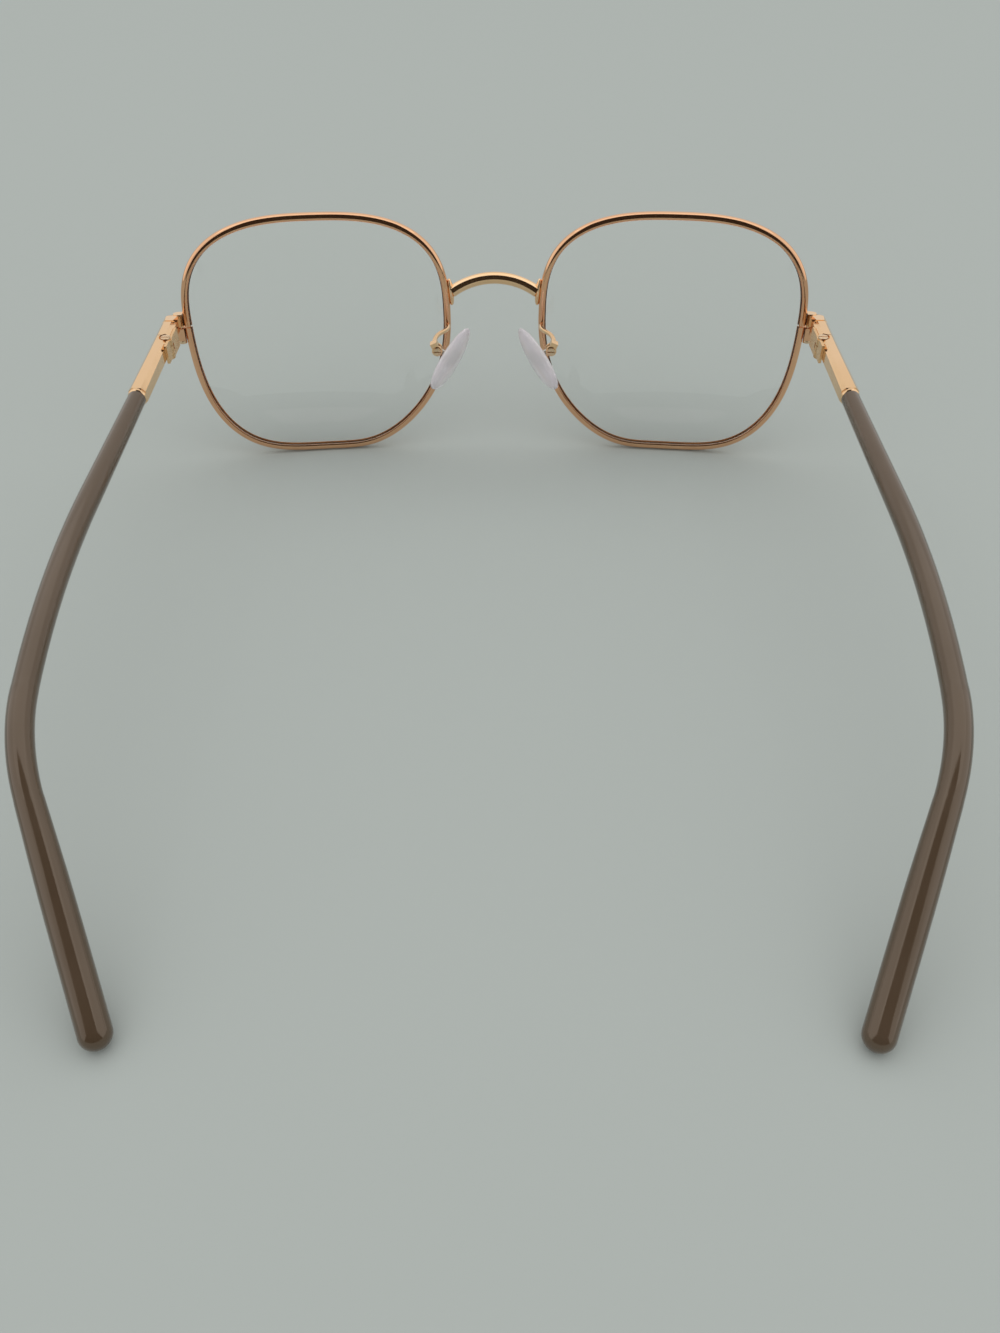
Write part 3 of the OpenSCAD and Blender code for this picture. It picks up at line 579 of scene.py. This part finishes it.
def makePad():
    bpy.ops.object.select_all(action="DESELECT")
    bpy.ops.mesh.primitive_cube_add(size=mm)
    piece = bpy.context.object
    piece.name = piece.data.name = "nosePadLeft"
    piece.scale = [size * pad["swell"] for size in pad["size"]]
    applyPlace(piece)
    applyModifier(piece, "SUBSURF", levels=pad["rounding"], render_levels=pad["rounding"])
    applyModifier(piece, "SIMPLE_DEFORM", deform_method="TAPER", deform_axis="Z", factor=pad["taper"])
    corners = [vertex.co for vertex in piece.data.vertices]
    spread = [max(place[k] for place in corners) - min(place[k] for place in corners) for k in range(3)]
    piece.scale = [size * mm / wide for size, wide in zip(pad["size"], spread)]
    piece.location = (0, 0, 0)
    applyPlace(piece)
    turn = turned("X", pad["slant"]) @ turned("Y", -pad["lean"]) @ turned("Z", -pad["splay"])
    face = turn @ Vector((-1, 0, 0))
    neck = Vector((face.x, 0, face.z)).normalized()  # the neck stays square to the screw
    middle = jointPlace["left_pad_rock"] + pad["reach"] / (neck @ face) * neck
    shift = Vector(((pad["plate"] - pad["size"][0]) / 2, 0, pad["drop"])) * mm
    piece.matrix_world = Matrix.Translation(middle * mm) @ turn @ Matrix.Translation(shift)
    applyPlace(piece)
    smooth(piece, pad["smooth"])
    return piece


padLeft = makePad()
padPieces = {"left": padLeft, "right": mirrored(padLeft, "nosePadRight", pad["smooth"])}
print("nose pads made")


# Bridge: an arched round wire with a long foot on each rim, made one piece

bridge = {
    "ends": (-71.7759, 32.5145),  # y and z of both ends of the arch
    "radius": 14.843, "halfTurn": 35.24, "sag": 2.72,
    "tilt": 36.03,  # how far the arch leans to the front
    "wire": 1.14, "steps": 40, "smooth": 40,
    "footTurn": 169.61,  # place of a foot round the lens, from the outer side
    "footSpan": 5.6, "footEnd": 84, "footStep": 12, "footTaper": 0.6,  # along the rim, in degrees
    "footOut": 1.35, "footHalf": (0.55, 0.86), "ovalStep": 15,
}


def makeFoot():
    wide, deep = bridge["footHalf"]
    angles = [math.radians(angle) for angle in range(0, 360, bridge["ovalStep"])]
    profile = crossSection("footSection", [(wide * math.cos(a), deep * math.sin(a)) for a in angles])
    stops = [math.radians(a) for a in range(-bridge["footEnd"], bridge["footEnd"] + 1, bridge["footStep"])]
    turns = [bridge["footTurn"] + bridge["footSpan"] * math.sin(stop) for stop in stops]
    points = [wirePoint(turn, bridge["footOut"]) for turn in turns]
    foot = sweep("bridgeFoot", points, [math.cos(stop) ** bridge["footTaper"] for stop in stops], profile)
    bpy.data.objects.remove(profile)
    foot.matrix_world = onLens
    applyPlace(foot)
    return foot


def makeBridge():
    radius, count = bridge["radius"], bridge["steps"]
    middle = (Matrix.Translation((0, *bridge["ends"])) @ turned("X", bridge["tilt"])
              @ Matrix.Translation((0, 0, bridge["sag"] - radius)))
    arch = [middle @ turned("Y", bridge["halfTurn"] * (2 * i / count - 1)) @ Vector((0, 0, radius))
            for i in range(count + 1)]
    piece = sweep("bridgeWire", arch, radii=[bridge["wire"]] * len(arch))
    foot = makeFoot()
    for part in (foot, mirrored(foot, "bridgeFootRight", bridge["smooth"])):
        applyModifier(piece, "BOOLEAN", operation="UNION", solver="EXACT", object=part)
        bpy.data.objects.remove(part)
    editMesh(piece, faceOut)
    smooth(piece, bridge["smooth"])
    return piece


# Small metal pieces: copies of the CAD solids with eased edges

metalPieces = {  # name, body, slot and finish of the new piece, and the width of its eased edges
    "endpiece": ("endpiece", "front", "bar_metal", "paleGold", 0.14),
    "rim_lock": ("rimLock", "front", "bar_metal", "roseGoldWire", 0.08),
    "rim_screw": ("rimScrew", "front", "screws", "screwGold", 0.05),
    "front_hinge": ("frontHinge", "front", "hinge_metal", "hingeGold", 0.06),
    "hinge_screw": ("hingeScrew", "front", "screws", "screwGold", 0.05),
    "temple_hinge": ("templeHinge", "temple", "hinge_metal", "hingeGold", 0.06),
    "temple_front": ("templeFront", "temple", "bar_metal", "paleGold", 0.14),
    "pad_arm": ("padArm", "front", "rim_wire", "paleGold", 0.06),
    "pad_screw": ("padScrew", "front", "screws", "screwGold", 0.05),
    "pad_core": ("padCore", "pad", "steel", "springSteel", 0.05),
}
easedEdge = {"flat": 0.5, "sharp": 28, "segments": 3, "smooth": 32}  # angles in degrees


def easedCopy(node, name, width):
    piece = copied(nodes[node], name)
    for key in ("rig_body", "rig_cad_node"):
        if key in piece:
            del piece[key]
    piece.parent = None

    def joinFlats():
        bpy.ops.mesh.dissolve_limited(angle_limit=math.radians(easedEdge["flat"]))

    editMesh(piece, mergeDoubles, joinFlats)
    applyModifier(piece, "BEVEL", width=width * mm, segments=easedEdge["segments"], limit_method="ANGLE",
                  angle_limit=math.radians(easedEdge["sharp"]), harden_normals=False)
    smooth(piece, easedEdge["smooth"])
    applyModifier(piece, "WEIGHTED_NORMAL", keep_sharp=True)  # keeps the wide faces flat beside their edges
    return piece


def bodyOf(part, side):
    return part if part == "front" else f"{side}_{part}"


placeOn(makeBridge(), "front", "bar_metal", finish["paleGold"], "bridge")
for kind, (name, part, slotName, look, width) in metalPieces.items():
    for side in sides:
        node = f"{side}_{kind}"
        piece = easedCopy(node, name + side.title(), width)
        placeOn(piece, bodyOf(part, side), slotName, finish[look], node)
for side in sides:
    placeOn(rimPieces[side], "front", "rim_wire", finish["roseGoldWire"], f"{side}_rim")
    placeOn(lensPieces[side], "front", "lens", finish["demoLens"], f"{side}_lens")
    # the lens bevel gets the peach tone of a painted reflection of the rim
    grindEdgePaintReflection(lensPieces[side], side)
    placeOn(sleevePieces[side], f"{side}_temple", "sleeve", finish["taupeAcetate"], f"{side}_temple_sleeve")
    placeOn(padPieces[side], f"{side}_pad", "pads", finish["clearSilicone"], f"{side}_nose_pad")
    core = nodes[f"{side}_temple_core"]
    core.data.materials.clear()
    core.data.materials.append(finish["springSteel"])
print("metal pieces dressed")


# Floor, studio light and camera

studio = {  # places and sizes in metres
    "floor": {"size": 16.0, "tone": (0.435, 0.475, 0.46), "roughness": 0.9, "gloss": 0.0},
    "air": (0.79, 0.78, 0.76),
    "flag": {"size": (0.30, 0.30), "place": (0.0, 0.18, 0.15), "hood": (0.0, -0.14, 0.13),
             "tone": (0.04, 0.028, 0.02), "roughness": 0.95, "gloss": 0.5},
    "lamps": [  # place, size and power
        ((0.0, -0.25, 1.25), (2.0, 1.6), 3.6),
        ((-1.2, 0.05, 0.65), (1.4, 1.4), 1.2),
        ((1.2, 0.05, 0.65), (1.4, 1.4), 1.2),
    ],
}


def makePaint(name, look):
    paint = bpy.data.materials.new(name)
    paint.use_nodes = True
    shader = paint.node_tree.nodes["Principled BSDF"]
    shader.inputs["Base Color"].default_value = (*look["tone"], 1)
    shader.inputs["Roughness"].default_value = look["roughness"]
    shader.inputs["Specular IOR Level"].default_value = look["gloss"]
    return paint


def makeFloor():
    bpy.ops.object.select_all(action="DESELECT")
    bpy.ops.mesh.primitive_plane_add(size=studio["floor"]["size"])
    floor = bpy.context.object
    floor.name = "studioFloor"
    floor.data.materials.append(makePaint("palePaint", studio["floor"]))


def makeFlag():  # a dark card behind the camera, bent forward above it, only for the wires to reflect
    look = studio["flag"]
    bpy.ops.object.select_all(action="DESELECT")
    bpy.ops.mesh.primitive_plane_add(size=1)
    flag = bpy.context.object
    flag.name = "darkFlag"
    flag.scale = (*look["size"], 1)
    flag.rotation_euler = (math.radians(90), 0, 0)
    flag.location = look["place"]
    applyPlace(flag)
    middle = look["place"][2]
    selectEdges(flag, lambda a, b: min(a.z, b.z) > middle)
    bpy.ops.mesh.extrude_region_move(TRANSFORM_OT_translate={"value": look["hood"]})
    bpy.ops.object.mode_set(mode="OBJECT")
    flag.visible_camera = False
    flag.visible_diffuse = False
    flag.visible_transmission = False
    flag.visible_shadow = False
    flag.data.materials.append(makePaint("darkFelt", look))


def makeLight():
    for i, (place, size, power) in enumerate(studio["lamps"]):
        lamp = bpy.data.lights.new(f"softbox{i}", "AREA")
        lamp.shape = "RECTANGLE"
        lamp.size, lamp.size_y = size
        lamp.energy = power
        box = bpy.data.objects.new(lamp.name, lamp)
        bpy.context.collection.objects.link(box)
        box.location = place
        box.rotation_euler = (-Vector(place)).to_track_quat("-Z", "Y").to_euler()
    world = bpy.data.worlds.new("studioWorld")
    bpy.context.scene.world = world
    world.use_nodes = True
    world.node_tree.nodes["Background"].inputs["Color"].default_value = (*studio["air"], 1)


camera = {  # turned about X, Y and Z in degrees; near and far in metres
    "place": (-2.41, 141.36, 131.72), "turn": (46.5371, 0.1778, -179.7336),
    "lens": 40.3, "sensor": 36, "near": 0.005, "far": 20,
}


def makeCamera():
    data = bpy.data.cameras.new("photoCamera")
    data.sensor_fit = "HORIZONTAL"
    data.sensor_width = camera["sensor"]
    data.lens = camera["lens"]
    data.clip_start = camera["near"]
    data.clip_end = camera["far"]
    eye = bpy.data.objects.new("photoCamera", data)
    bpy.context.collection.objects.link(eye)
    eye.location = Vector(camera["place"]) * mm
    eye.rotation_euler = [math.radians(angle) for angle in camera["turn"]]
    bpy.context.scene.camera = eye


makeFloor()
makeFlag()
makeLight()
makeCamera()
bpy.context.scene.view_settings.view_transform = "Standard"
print("studio and camera made")
